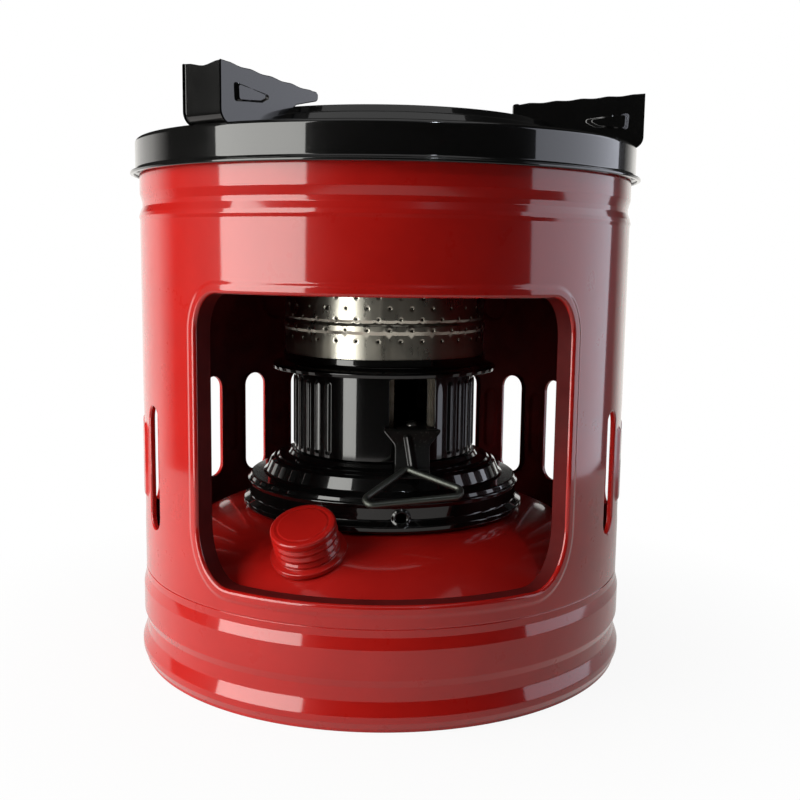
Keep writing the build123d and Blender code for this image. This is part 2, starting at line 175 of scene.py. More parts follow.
# ---- meshes --------------------------------------------------------------------------
class Skin:
    """Points with exact normals, and faces, gathered into one mesh."""

    def __init__(self):
        self.co, self.no, self.faces, self.slots = [], [], [], []

    def add(self, point, normal):
        self.co.append(point)
        self.no.append(normal)
        return len(self.co) - 1

    def face(self, ids, slot=0):
        kept = [v for i, v in enumerate(ids) if v != ids[i - 1]]
        if len(set(kept)) > 2:
            self.faces.append(kept)
            self.slots.append(slot)

    def band(self, one, other, closed=True, slot=0):
        count = len(one)
        for i in range(count if closed else count - 1):
            j = (i + 1) % count
            self.face((one[i], one[j], other[j], other[i]), slot)

    def bands(self, rows):
        for one, other in zip(rows, rows[1:]):
            self.band(one, other)

    def build(self, name, body, slot, materials, replaced=(), place=None):
        co = np.array([tuple(p) for p in self.co])
        no = np.array([tuple(n) for n in self.no])
        faces = []
        for ids in self.faces:
            a, b, c = co[ids[0]], co[ids[1]], co[ids[2]]
            if len(ids) > 4:
                run = np.cross(co[ids], np.roll(co[ids], -1, 0)).sum(0)
            elif len(ids) > 3:
                run = np.cross(co[ids[2]] - a, co[ids[3]] - b)
            else:
                run = np.cross(b - a, c - a)
            faces.append(ids if run @ no[ids].sum(0) >= 0 else ids[::-1])
        if place is not None:
            turn = np.array(place.to_3x3())
            co = co @ turn.T + np.array(place.translation)
            no = no @ turn.T
        mesh = bpy.data.meshes.new(name)
        mesh.from_pydata((co * MM).tolist(), [], faces)
        mesh.polygons.foreach_set("use_smooth", [True] * len(faces))
        mesh.polygons.foreach_set("material_index", self.slots)
        for material in materials:
            mesh.materials.append(material)
        mesh.update()
        mesh.normals_split_custom_set_from_vertices(no.tolist())
        piece = bpy.data.objects.new(name, mesh)
        bpy.context.scene.collection.objects.link(piece)
        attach(piece, body)
        if replaced:
            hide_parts(*replaced)
        return piece


class Sheet(Skin):
    """Sheet metal drawn flat in (s, t) and bent into place, with both skins and its edges."""

    def __init__(self, place, thick, inner_slot=0):
        super().__init__()
        self.place, self.thick, self.inner_slot = place, thick, inner_slot
        self.pairs, self.flat, self.frames = [], [], []

    def node(self, s, t, h=0.0, gs=0.0, gt=0.0):
        p, n, es, et = self.place(s, t)
        self.frames.append((p + n * h, n, es, et))
        normal = (n - es * gs - et * gt).normalized()
        self.pairs.append((self.add(p + n * h, normal), self.add(p + n * (h - self.thick), -normal)))
        self.flat.append((s, t))
        return len(self.pairs) - 1

    def panel(self, ids):
        self.face([self.pairs[i][0] for i in ids], 0)
        self.face([self.pairs[i][1] for i in ids], self.inner_slot)

    def panels(self, rows, closed=True):
        for one, other in zip(rows, rows[1:]):
            count = len(one)
            for i in range(count if closed else count - 1):
                j = (i + 1) % count
                self.panel((one[i], one[j], other[j], other[i]))

    def edge(self, ids, beyond, profile, closed=True, turn=None):
        """Joins the two skins along nodes ids; beyond holds directions off the sheet, flat or in space.

        The inner paint starts at row turn of the profile, or past its middle."""
        last = [self.pairs[i][0] for i in ids]
        turn = turn or len(profile) // 2 + 1
        outs = []
        for i, way in zip(ids, beyond):
            p, n, es, et = self.frames[i]
            outs.append(es * way[0] + et * way[1] if len(way) == 2 else way)
        for k, (a, depth, na, nd) in enumerate(profile):
            row = []
            for i, out in zip(ids, outs):
                p, n = self.frames[i][:2]
                row.append(self.add(p + out * a - n * depth, out * na + n * nd))
            self.band(last, row, closed, 0 if k < turn else self.inner_slot)
            last = row
        self.band(last, [self.pairs[i][1] for i in ids], closed, self.inner_slot)

    def feature(self, outline, rings, edge=None, turn=None):
        """Bands round an outline; rings are (distance outwards, height, slope) from the outside in."""
        rows = []
        for d, h, slope in rings:
            rows.append([self.node(s + ns * d, t + nt * d, h, ns * slope, nt * slope)
                         for s, t, ns, nt in outline])
        self.panels(rows)
        if edge is None:
            self.panel(rows[-1])
        else:
            self.edge(rows[-1], [(-ns, -nt) for s, t, ns, nt in outline], edge, True, turn)
        return rows[0]

    def fill(self, columns, rows, rings, wrap=True, border=None, border_ids=None):
        """Fills between a grid and feature rings.  Returns the first and last rows of nodes."""
        spots, owners, edges = [], [], []

        def take(node, owner):
            spots.append(Vector(self.flat[node]))
            owners.append((node, owner))
            return len(spots) - 1

        def chain(ids, closed=True):
            edges.extend((ids[i - 1], ids[i]) for i in range(0 if closed else 1, len(ids)))

        shapes = [np.array([self.flat[n] for n in ring]) for ring in rings]
        free = np.ones((len(rows), len(columns)), bool)
        grid_s, grid_t = np.meshgrid(np.array(columns), np.array(rows))
        margin = 0.45 * min(abs(columns[1] - columns[0]), abs(rows[1] - rows[0]) + 1.0)
        for shape in shapes:
            free &= ~near_outline(grid_s, grid_t, shape, margin)
        if border:
            inside = np.array(border)
            free &= inside_polygon(grid_s, grid_t, inside, 0.6 * margin)
        first, last = [], []
        for j, t in enumerate(rows):
            keep_row = wrap and j in (0, len(rows) - 1)
            start = None
            line = []
            for i, s in enumerate(columns):
                at_seam = wrap and i in (0, len(columns) - 1)
                if not (free[j, i] or keep_row or at_seam):
                    line.append(None)
                    continue
                if wrap and i == len(columns) - 1:
                    spots.append(Vector((s, t)))
                    owners.append((start, -1))
                    line.append(len(spots) - 1)
                    continue
                node = self.node(s, t)
                if start is None:
                    start = node
                line.append(take(node, -1))
            if keep_row:
                chain(line, False)
                ids = [owners[k][0] for k in line[:-1]]
                if j == 0:
                    first = ids
                else:
                    last = ids
        if border:
            border_ids = border_ids or [None] * len(border)
            outer = []
            for (s, t), known in zip(border, border_ids):
                outer.append(len(spots))
                spots.append(Vector((s, t)))
                owners.append((self.node(s, t) if known is None else known, -1))
            chain(outer)
            first = [owners[k][0] for k in outer]
        for number, ring in enumerate(rings):
            chain([take(node, number) for node in ring])
        result = delaunay_2d_cdt(spots, edges, [], 0, 1e-7)
        origin = [o[0] if o else None for o in result[3]]
        for face in result[2]:
            if any(origin[k] is None for k in face):
                continue
            mine = [owners[origin[k]] for k in face]
            if mine[0][1] >= 0 and all(m[1] == mine[0][1] for m in mine):
                continue
            if border:
                centre = sum((spots[origin[k]] for k in face), Vector((0, 0))) / 3
                if not inside_polygon(np.array([centre.x]), np.array([centre.y]), inside, 0)[0]:
                    continue
            self.panel([m[0] for m in mine])
        return first, last


def near_outline(s, t, shape, margin):
    """True where a point is inside a convex outline, or nearer to it than margin."""
    centre = shape.mean(0)
    near = np.zeros(s.shape, bool)
    low, high = shape.min(0) - margin, shape.max(0) + margin
    box = (s > low[0]) & (s < high[0]) & (t > low[1]) & (t < high[1])
    if not box.any():
        return near
    p = np.stack([s[box], t[box]], 1)
    following = np.roll(shape, -1, 0)
    run = following - shape
    normal = np.stack([run[:, 1], -run[:, 0]], 1) / np.linalg.norm(run, axis=1)[:, None]
    flip = np.sign(((shape - centre) * normal).sum(1))
    normal *= flip[:, None]
    far = ((p[:, None, :] - shape[None]) * normal[None]).sum(2).max(1)
    near[box] = far < margin
    return near


def inside_polygon(s, t, shape, margin):
    """True where a point is inside a closed polygon and at least margin from it."""
    inside = np.zeros(s.shape, bool)
    close = np.full(s.shape, 1e9)
    for a, b in zip(shape, np.roll(shape, -1, 0)):
        crosses = (a[1] > t) != (b[1] > t)
        if crosses.any():
            at = (b[0] - a[0]) * (t - a[1]) / ((b[1] - a[1]) or 1e-12) + a[0]
            inside ^= crosses & (s < at)
        if margin:
            run = b - a
            f = np.clip(((s - a[0]) * run[0] + (t - a[1]) * run[1]) / max(run @ run, 1e-12), 0, 1)
            close = np.minimum(close, np.hypot(s - a[0] - run[0] * f, t - a[1] - run[1] * f))
    return inside & (close >= margin)


def lengths_of(line):
    lengths = [0.0]
    for a, b in zip(line, line[1:]):
        lengths.append(lengths[-1] + math.dist(a[:2], b[:2]))
    return lengths


def row_at(line, lengths, t):
    """The line's row at length t; past an end the place runs on and the directions stay."""
    i = min(max(bisect_right(lengths, t) - 1, 0), len(line) - 2)
    f = (t - lengths[i]) / (lengths[i + 1] - lengths[i])
    g = min(max(f, 0.0), 1.0)
    return [p + (q - p) * (f if k < 2 else g) for k, (p, q) in enumerate(zip(line[i], line[i + 1]))]


def spun_place(line, lengths, reference):
    """Bends a flat sheet round Z: s is arc length at the reference radius, t length along the line."""
    def place(s, t):
        r, z, nr, nz, er, ez = row_at(line, lengths, t)
        angle = s / reference
        radial = Vector((math.sin(angle), -math.cos(angle), 0))
        around = Vector((math.cos(angle), math.sin(angle), 0))
        normal, along = radial * nr + UP * nz, radial * er + UP * ez
        return radial * r + UP * z, normal.normalized(), around, along.normalized()

    return place


def length_at(line, value, axis=1):
    """Length along a line where its height (axis 1) or radius (axis 0) first reaches a value."""
    lengths = lengths_of(line)
    for i in range(len(line) - 1):
        a, b = line[i][axis], line[i + 1][axis]
        if a != b and min(a, b) - 1e-9 <= value <= max(a, b) + 1e-9:
            return lengths[i] + (lengths[i + 1] - lengths[i]) * (value - a) / (b - a)
    raise ValueError("the line never reaches %g" % value)


def spun(line, thick, columns, inner_slot=0, span=None, make_features=None, grid=4.0, reference=None):
    """A sheet of revolution; between the two lengths of span it is filled round its features."""
    reference = reference or max(row[0] for row in line)
    lengths = lengths_of(line)
    place = spun_place(line, lengths, reference)
    sheet = Sheet(place, thick, inner_slot)
    across = [(-math.pi + 2 * math.pi * i / columns) * reference for i in range(columns + 1)]

    def row(t):
        if place(0, t)[0].xy.length < 1e-6:
            return [sheet.node(0, t)] * columns
        return [sheet.node(s, t) for s in across[:-1]]

    if span is None:
        groups = [[row(t) for t in lengths]]
    else:
        rings = make_features(sheet, lambda v, axis=1: length_at(line, v, axis))
        inner = [t for t in lengths if span[0] + 0.2 < t < span[1] - 0.2]
        marks = [span[0]] + inner + [span[1]]
        heights = []
        for a, b in zip(marks, marks[1:]):
            parts = max(1, round((b - a) / grid))
            heights += [a + (b - a) * k / parts for k in range(parts)]
        first, last = sheet.fill(across, heights + [span[1]], rings)
        before = [row(t) for t in lengths if t < span[0] - 0.01]
        after = [row(t) for t in lengths if t > span[1] + 0.01]
        groups = [before + [first], [last] + after]
    for group in groups:
        sheet.panels(group)
    for ids, way in ((groups[0][0], -1), (groups[-1][-1], 1)):
        if len(set(ids)) > 1:
            sheet.edge(ids, [(0, way)] * len(ids), lip(thick))
    return sheet


def rings_of(height, distances):
    """Feature rings from a height function of the distance outside the outline."""
    e = 0.01
    return [(d, height(d), (height(d + e) - height(d - e)) / (2 * e)) for d in distances]


def swell(height, start, width):
    """A raised part whose side starts at a distance outside the outline and climbs over a width."""
    return lambda d: height * smooth((start - d) / width)


def ridge(height, half_width, power):
    """A rounded ridge that is highest at half its width inside the outline."""
    def rise(d):
        inside = min(max(half_width + d, 0) / half_width, 1)
        return height * math.cos(math.pi / 2 * inside) ** power if d < 0 else 0.0

    return rise


def smooth(x):
    x = min(max(x, 0.0), 1.0)
    return x * x * (3 - 2 * x)


def spread(start, stop, count):
    return [start + (stop - start) * k / (count - 1) for k in range(count)]


def round_z(count):
    """Evenly spaced angles, each with its unit vector square to Z."""
    angles = [2 * math.pi * k / count for k in range(count)]
    return [(a, Vector((math.cos(a), math.sin(a), 0))) for a in angles]


# ---- materials -----------------------------------------------------------------------
class Nodes:
    """Helper calls for the nodes of one tree."""

    def __init__(self, tree):
        self.tree = tree

    def node(self, kind, **inputs):
        made = self.tree.nodes.new(kind)
        for key, value in inputs.items():
            self.link(made.inputs[key.replace("_", " ")], value)
        return made

    def link(self, socket, value):
        if isinstance(value, bpy.types.NodeSocket):
            self.tree.links.new(value, socket)
        else:
            socket.default_value = value

    def span(self, value, low, high, to_low, to_high):
        made = self.node("ShaderNodeMapRange", Value=value)
        for key, number in (("From Min", low), ("From Max", high), ("To Min", to_low), ("To Max", to_high)):
            made.inputs[key].default_value = number
        return made.outputs["Result"]

    def combine(self, kind, operation, *values):
        """A Math or Vector Math node on one or two values."""
        made = self.tree.nodes.new(kind)
        made.operation = operation
        for socket, value in zip(made.inputs, values):
            self.link(socket, value)
        return made.outputs["Value"]

    def math(self, operation, a, b):
        return self.combine("ShaderNodeMath", operation, a, b)

    def mix_shader(self, factor, first, second):
        made = self.node("ShaderNodeMixShader", Fac=factor)
        self.link(made.inputs[1], first.outputs[0])
        self.link(made.inputs[2], second.outputs[0])
        return made


class Shader(Nodes):
    """A Principled material."""

    def __init__(self, name, colour, roughness, metallic=0.0):
        self.material = bpy.data.materials.new(name)
        self.material.use_nodes = True
        super().__init__(self.material.node_tree)
        self.bsdf = self.tree.nodes["Principled BSDF"]
        self.set("Base Color", (*colour, 1.0))
        self.set("Roughness", roughness)
        self.set("Metallic", metallic)
        self.place = self.node("ShaderNodeTexCoord").outputs["Object"]
        self.normal = None

    def set(self, name, value):
        self.link(self.bsdf.inputs[name], value)

    def noise(self, scale, detail=3.0, roughness=0.5, stretch=None):
        at = self.place
        if stretch:
            mapping = self.node("ShaderNodeMapping", Vector=at)
            mapping.inputs["Scale"].default_value = stretch
            at = mapping.outputs[0]
        made = self.node("ShaderNodeTexNoise", Vector=at, Scale=scale, Detail=detail, Roughness=roughness)
        return made.outputs["Fac"]

    def mix(self, factor, a, b):
        """Mixes colour a, or a socket, with colour b."""
        made = self.tree.nodes.new("ShaderNodeMix")
        made.data_type = "RGBA"
        self.link(made.inputs["Factor"], factor)
        self.link(made.inputs[6], a if isinstance(a, bpy.types.NodeSocket) else (*a, 1.0))
        self.link(made.inputs[7], (*b, 1.0))
        return made.outputs[2]

    def bump(self, height, distance):
        made = self.node("ShaderNodeBump", Height=height, Strength=1.0, Distance=distance)
        if self.normal:
            self.link(made.inputs["Normal"], self.normal)
        self.normal = made.outputs["Normal"]
        self.set("Normal", self.normal)


DUST = (0.5, 0.45, 0.42)


def enamel(name, colour, deep, roughness, coat, peel, dust=0.0):
    """Sprayed and baked gloss paint: orange peel, faint mottle, a clear surface and thin dust."""
    made = Shader(name, colour, roughness)
    mottle = made.noise(35.0, 4.0, 0.6)
    tint = made.mix(made.span(mottle, 0.35, 0.65, 0.0, 1.0), colour, deep)
    if dust:
        speck = made.noise(900.0, 2.0, 0.7)
        cloud = made.noise(28.0, 3.0, 0.55)
        amount = made.math("MULTIPLY", made.span(speck, 0.60, 0.72, 0.0, 1.0),
                           made.span(cloud, 0.45, 0.7, 0.0, dust))
        tint = made.mix(amount, tint, DUST)
    made.set("Base Color", tint)
    made.set("Roughness", made.span(made.noise(60.0, 4.0, 0.65), 0.3, 0.7, roughness * 0.85, roughness * 1.2))
    made.set("Coat Weight", coat)
    made.set("Coat Roughness", 0.07 if colour[0] > 0.1 else 0.04)
    made.set("Specular IOR Level", 0.08)
    made.bump(made.noise(420.0, 1.0, 0.4), peel * MM)
    made.bump(made.noise(45.0, 2.0, 0.5), peel * 3.0 * MM)
    return made.material


def metal(name, colour, roughness, grain=(1.0, 1.0, 30.0), scale=220.0, depth=0.004, stain=None):
    """Bare or plated metal with drawing lines, uneven gloss and a faint stain."""
    made = Shader(name, colour, roughness, 1.0)
    lines = made.noise(scale, 4.0, 0.6, grain)
    blot = made.noise(55.0, 4.0, 0.6)
    stain = stain or tuple(c * 0.72 for c in colour)
    made.set("Base Color", made.mix(made.span(blot, 0.42, 0.72, 0.0, 0.8), colour, stain))
    made.set("Roughness", made.math("ADD", made.span(lines, 0.3, 0.7, -0.05, 0.06),
                                    made.span(blot, 0.3, 0.7, roughness * 0.85, roughness * 1.25)))
    made.bump(lines, depth * MM)
    return made.material


RED = enamel("red_enamel", (0.47, 0.0090, 0.0060), (0.43, 0.0075, 0.005), 0.30, 1.0, 0.003)
# Dull inside paint: its red, four times darker than the outside's, is painted shade for the surfaces inside
# the casing.
RED_INSIDE_PAINTED_SHADE = enamel("red_enamel_inside_painted_shade", (0.11, 0.006, 0.006), (0.07, 0.004, 0.004), 0.60, 0.0, 0.01)
RED_CAP = enamel("red_enamel_cap", (0.46, 0.010, 0.007), (0.41, 0.008, 0.006), 0.34, 0.7, 0.004)
BLACK = enamel("black_enamel", (0.0035, 0.0035, 0.0035), (0.005, 0.005, 0.005), 0.22, 1.0, 0.002, 0.03)
BLACK_FLAT = enamel("black_enamel_worn", (0.008, 0.008, 0.008), (0.014, 0.014, 0.013), 0.32, 0.5, 0.02, 0.2)
SLEEVE = metal("bright_sleeve_steel", (0.55, 0.53, 0.46), 0.29, (1.0, 1.0, 0.06), 260.0, 0.0008,
               (0.50, 0.46, 0.38))
STEEL = metal("plated_steel", (0.50, 0.49, 0.46), 0.34)
# A copy of the plated steel about ten times darker, for the parts inside the burner: painted shade.
STEEL_PAINTED_SHADE = metal("steel_painted_shade", (0.055, 0.05, 0.045), 0.5)
WIRE = metal("handle_wire", (0.085, 0.09, 0.08), 0.42, (1.0, 1.0, 1.0), 400.0, 0.02)
RUBBER = enamel("seal_rubber", (0.02, 0.02, 0.02), (0.03, 0.03, 0.03), 0.7, 0.0, 0.03)


def cotton():
    made = Shader("wick_cotton", (0.28, 0.24, 0.18), 0.95)
    strands = made.node("ShaderNodeTexWave", Vector=made.place, Scale=420.0, Distortion=3.0, Detail=2.0)
    fibre = made.noise(2600.0, 3.0, 0.7)
    made.set("Base Color", made.mix(made.span(made.noise(140.0), 0.35, 0.7, 0.0, 1.0),
                                    (0.30, 0.26, 0.20), (0.17, 0.14, 0.10)))
    made.set("Sheen Weight", 0.3)
    made.bump(strands.outputs["Fac"], 0.25 * MM)
    made.bump(fibre, 0.08 * MM)
    return made.material


COTTON = cotton()

# ---- casing --------------------------------------------------------------------------
R = 118.0
SHEET = 0.8


def make_base_shell():
    line = rounded_line([(118.8, 0.4), (118.8, 1.4), (120.2, 4.4), (120.2, 7.0), (118.0, 13.0), (118.0, 19.0),
                         (119.2, 22.4), (119.2, 35.2), (118.0, 40.2), (118.0, 43.3)],
                        [0.6, 1.4, 3.0, 3.0, 2.2, 2.2, 2.5, 0.6], -1, 0.8)
    spun(line, SHEET, 256, 1).build("base_shell_skin", "casing", "red_paint", (RED, RED_INSIDE_PAINTED_SHADE),
                                    ["base_shell"])


def window_outline(length):
    """The window's edge on the casing, as (arc, length) points, cut by planes 42.3 degrees to a side."""
    slope = math.tan(math.radians(42.3))
    square = slope ** 2 + 1
    low, high = 53.8, 177.8

    def corner(radius, z, way, angles):
        points = []
        for a in angles:
            a = math.radians(a)
            c = radius * (1 - math.cos(a))
            y = (slope * c + math.sqrt(slope ** 2 * c ** 2 - square * (c ** 2 - R ** 2))) / square
            points.append((math.atan2(y * slope - c, y) * R, length(z + way * radius * math.sin(a))))
        return points

    def straight(a, b, step=3.0):
        parts = max(2, int(math.dist(a, b) / step))
        return [(a[0] + (b[0] - a[0]) * k / parts, a[1] + (b[1] - a[1]) * k / parts)
                for k in range(1, parts)]

    right_top = corner(17.0, high - 17.0, 1, spread(0, 90, 13))
    right_low = corner(25.0, low + 25.0, -1, spread(90, 0, 13))
    left_top, left_low = ([(-s, t) for s, t in reversed(run)] for run in (right_top, right_low))
    runs = [right_top, left_top, left_low, right_low]
    ring = []
    for run, following in zip(runs, runs[1:] + runs[:1]):
        ring += run + straight(run[-1], following[0])
    return outline_normals(ring)


def casing_features(sheet, length):
    rings = []
    border = lambda d: 0.75 * (1 - smooth((d - 3.2) / 2.6))
    window = window_outline(length)
    # From the fifth row of its bend on, the turned-in window reveal takes the dark inside red: painted shade
    # in the reveal.
    rings.append(sheet.feature(window, rings_of(border, [6.0, 5.4, 4.9, 4.5, 4.1, 3.6, 3.1, 2.4, 1.6]),
                               flange(SHEET, 1.6, 9.0), 5))
    pitch = 15.45
    for side in (-1, 1):
        for n in range(8):
            s = side * math.radians(62.3 + pitch * n) * R
            slot = rounded_box(s, length(96.5), 6.8, 28.5, 6.8, 3.5, 7)
            rings.append(sheet.feature(slot, [(1.0, 0.0, 0.0)], flange(SHEET, 1.0, 2.6, 4)))
            if n < 7:
                s += side * math.radians(pitch / 2) * R
                rib = rounded_box(s, length(98.0), 4.25, 18.0, 4.25, 3.5, 6)
                rings.append(sheet.feature(rib, rings_of(
                    swell(1.15, 0.6, 2.6), [0.7, 0.2, -0.3, -0.8, -1.3, -1.8, -2.3, -3.6])))
        boss = rounded_box(side * math.radians(147.0) * R, length(165.0), 8.5, 8.5, 8.5, 9, 6)
        rings.append(sheet.feature(boss, rings_of(
            swell(1.15, 0.5, 2.4), [0.6, 0.1, -0.4, -0.9, -1.4, -2.0, -4.5, -7.0])))
    return rings


def make_casing():
    line = rounded_line([(117.1, 37.0), (117.1, 42.2), (118.0, 44.2), (118.0, 208.6), (118.4, 210.3),
                         (118.0, 212.0), (116.9, 215.0), (116.9, 217.0), (118.0, 221.0), (118.0, 244.4)],
                        [0.8, 1.2, 0.8, 1.0, 0.8, 1.6, 1.6, 2.0], -1, 0.6)
    span = (length_at(line, 46.0), length_at(line, 190.0))
    spun(line, SHEET, 240, 1, span, casing_features, 4.2).build(
        "outer_casing_skin", "casing", "red_paint", (RED, RED_INSIDE_PAINTED_SHADE), ["outer_casing"])


# ---- tank ----------------------------------------------------------------------------
FILLER_AZIMUTH = math.radians(-21.6)
FILLER_RADIUS = 86.3
TILT = math.radians(25.5)
FILLER_OUT = Vector((math.sin(FILLER_AZIMUTH), -math.cos(FILLER_AZIMUTH), 0))
FILLER_AXIS = FILLER_OUT * math.sin(TILT) + UP * math.cos(TILT)
FILLER_ORIGIN = FILLER_OUT * FILLER_RADIUS + UP * 64.8
FILLER_X = Vector((math.cos(FILLER_AZIMUTH), math.sin(FILLER_AZIMUTH), 0))
FILLER = Matrix.Translation(FILLER_ORIGIN) @ Matrix(
    (FILLER_X, FILLER_AXIS.cross(FILLER_X), FILLER_AXIS)).transposed().to_4x4()


def make_tank_top():
    line = rounded_line([(0, 70.0), (65.0, 70.0), (88.5, 65.6), (112.5, 47.4), (113.7, 45.6), (115.8, 45.6)],
                        [20.0, 80.0, 0.8, 0.3], 1, 1.5, 4.0)

    def neck_hole(sheet, length):
        """Where the neck's wall meets the dome, found along lines beside the filler's axis."""
        ring = []
        neck_radius = 12.75
        for a, _ in round_z(40):
            base = FILLER @ Vector((neck_radius * math.cos(a), neck_radius * math.sin(a), 0))
            low, high = -12.0, 12.0
            for _ in range(40):
                middle = (low + high) / 2
                p = base + FILLER_AXIS * middle
                above = p.z > sheet.place(0, length(p.xy.length, 0))[0].z
                low, high = (low, middle) if above else (middle, high)
            ring.append((math.atan2(p.x, -p.y) * FILLER_RADIUS, length(p.xy.length, 0)))
        return [sheet.feature(outline_normals(ring), [(0.0, 0.0, 0.0)], lip(SHEET))]

    span = (length_at(line, 66.0, 0), length_at(line, 106.0, 0))
    spun(line, SHEET, 160, 1, span, neck_hole, 3.6, FILLER_RADIUS).build(
        "tank_top_skin", "casing", "red_paint", (RED_CAP, RED_INSIDE_PAINTED_SHADE), ["tank_top"])


def make_filler_cap():
    line = rounded_line([(0, 16.0), (10.6, 16.0), (11.4, 15.75), (12.6, 15.9), (14.5, 15.6), (14.5, 12.9),
                         (13.8, 12.1), (14.7, 10.4), (13.8, 8.7), (14.7, 6.9), (13.8, 5.3), (14.7, 3.9),
                         (14.2, 2.6), (16.9, 1.7), (17.05, 0.1)],
                        [1.0, 1.0, 1.0, 1.3, 0.4, 0.5, 0.7, 0.5, 0.7, 0.5, 0.5, 0.4, 0.6], 1, 0.5)
    spun(line, 0.7, 96).build("filler_cap_shell", "cap", "red_paint", (RED_CAP,), ["filler_cap"], FILLER)


# ---- burner --------------------------------------------------------------------------
def make_burner_base():
    line = rounded_line(
        [(41.5, 97.8), (46.2, 97.8), (47.4, 95.6), (52.6, 95.2), (53.4, 94.2), (55.2, 94.0), (56.6, 92.8),
         (58.8, 87.2), (60.4, 86.5), (66.3, 86.2), (67.3, 84.3), (68.2, 83.5), (67.3, 81.6), (67.1, 76.0),
         (70.1, 73.6), (70.1, 71.4), (68.6, 70.1), (63.0, 70.1)],
        [0.8, 0.8, 0.6, 0.4, 0.4, 0.7, 1.2, 0.9, 1.0, 0.7, 0.6, 0.7, 1.2, 0.9, 0.9, 0.6], 1, 0.5)
    wall = 67.1

    def air_hole(sheet, length):
        arch = lambda d: 0.85 * smooth(1 - abs(d - 0.9) / 1.5)
        hole = rounded_box(math.radians(7.2) * wall, length(78.2) + 1.2, 2.3, 2.3, 2.3, 9, 6)
        return [sheet.feature(hole, rings_of(arch, [2.5, 2.0, 1.6, 1.2, 0.9, 0.6, 0.3]),
                              flange(SHEET, 0.3, 1.4, 3))]

    span = (length_at(line, 83.6) + 1.6, length_at(line, 73.0) - 0.1)
    spun(line, SHEET, 200, 0, span, air_hole, 1.6, wall).build(
        "burner_base_pan", "casing", "black_enamel", (BLACK,), ["burner_base"])


def make_burner_body():
    wall = 44.7
    line = rounded_line([(42.4, 98.3), (wall, 97.9), (wall, 138.8), (42.4, 138.4)], [0.6, 0.6], -1, 0.4)

    def body_features(sheet, length):
        rings = []
        for n in range(5, 37):
            flute = rounded_box(math.radians(9.0 * n - (360 if n > 19 else 0)) * wall, length(117.5),
                                2.15, 17.8, 2.15, 4.0, 5)
            rings.append(sheet.feature(flute, rings_of(
                ridge(0.8, 2.15, 1.5), [0.05, -0.3, -0.7, -1.1, -1.5, -1.9, -2.1])))
        slot = rounded_box(math.radians(18.2) * wall, length(125.2), 11.6, 12.0, 1.2, 3.0, 4)
        rings.append(sheet.feature(slot, [(0.3, 0, 0)], flange(SHEET, 0.3, 1.0, 3)))
        return rings

    span = (length_at(line, 98.6) + 0.1, length_at(line, 138.0))
    spun(line, SHEET, 180, 0, span, body_features, 1.8, wall).build(
        "burner_body_fluted", "casing", "black_enamel", (BLACK,), ["burner_body"])


def make_sleeve_seat():
    line = rounded_line([(50.4, 146.2), (50.4, 143.2), (55.0, 141.2), (55.8, 140.4), (55.5, 138.95)],
                        [1.5, 0.6, 0.5], 1, 0.4)
    spun(line, SHEET, 320).build("sleeve_seat_ring", "casing", "black_enamel", (BLACK,), ["sleeve_seat"])


def perforated(node, line, low, high, first_row, radius, per_row, wall):
    """A sleeve with staggered rows of holes between two heights."""
    pitch = 2 * math.pi / per_row

    def holes(sheet, length):
        rings = []
        dimple = lambda d: -0.10 * smooth(1 - d / 0.7)
        z, row = first_row, 0
        while z < high - 2.5:
            for n in range(per_row):
                a = math.radians(8.7) + pitch * (n + 0.5 * (row % 2))
                a = (a + math.pi) % (2 * math.pi) - math.pi
                if abs(a) * wall < math.pi * wall - 2.6:
                    hole = rounded_box(a * wall, length(z), radius, radius, radius, 9, 3)
                    rings.append(sheet.feature(hole, rings_of(dimple, [0.7, 0.35, 0.05]), lip(0.5, 3)))
            z += 5.0
            row += 1
        return rings

    span = (length_at(line, low), length_at(line, high))
    spun(line, 0.5, 150, 0, span, holes, 2.0, wall).build(
        node + "_perforated", "flame_drum", "bright_steel", (SLEEVE,), [node])


def make_sleeves():
    line = rounded_line([(49.3, 139.9), (49.3, 158.0), (49.9, 159.4), (49.9, 162.0), (48.7, 163.2),
                         (49.3, 164.6), (49.3, 240.0), (50.8, 240.8)],
                        [0.8, 0.9, 0.5, 0.4, 0.8, 1.0], -1, 0.4)
    perforated("outer_sleeve", line, 146.0, 237.0, 155.0, 0.8, 30, 49.3)
    line = rounded_line([(32.6, 139.9), (32.6, 150.0), (32.6, 236.0)], [0.5], -1, 0.4)
    perforated("inner_sleeve", line, 146.0, 228.0, 150.0, 0.7, 20, 32.6)


def make_spreader():
    line = rounded_line([(0, 244.0), (10.0, 244.0), (27.0, 241.5), (33.3, 237.0), (33.3, 231.0)],
                        [20.0, 6.0, 1.5], 1, 0.8)
    spun(line, 0.6, 96).build("flame_spreader_dome", "flame_drum", "bright_steel", (SLEEVE,),
                              ["flame_spreader"])


# ---- cover ---------------------------------------------------------------------------
def make_cover():
    line = rounded_line(
        [(60.0, 252.0), (60.0, 255.6), (76.8, 256.6), (79.0, 253.5), (81.5, 253.0), (88.0, 245.7),
         (119.8, 245.7), (119.8, 231.9), (122.2, 230.9), (122.2, 229.8), (121.0, 229.55)],
        [1.3, 1.3, 0.7, 1.0, 2.0, 1.9, 1.0, 0.6, 0.5], 1, 0.6)
    spun(line, 0.9, 256).build("top_cover_shell", "cover", "black_enamel", (BLACK,), ["top_cover"])


def solid(line, columns, places, name, body, slot, materials, replaced):
    """A closed turned piece at each place, whose line starts and ends on its axis."""
    skin = Skin()
    for place in places:
        turn = place.to_3x3()
        rows = []
        for r, z, nr, nz, *_ in line:
            if r < 1e-6:
                way = UP if nz > 0 else -UP
                rows.append([skin.add(place @ (UP * z), turn @ way)] * columns)
                continue
            rows.append([skin.add(place @ (out * r + UP * z), turn @ (out * nr + UP * nz))
                         for _, out in round_z(columns)])
        skin.bands(rows)
    return skin.build(name, body, slot, materials, replaced)


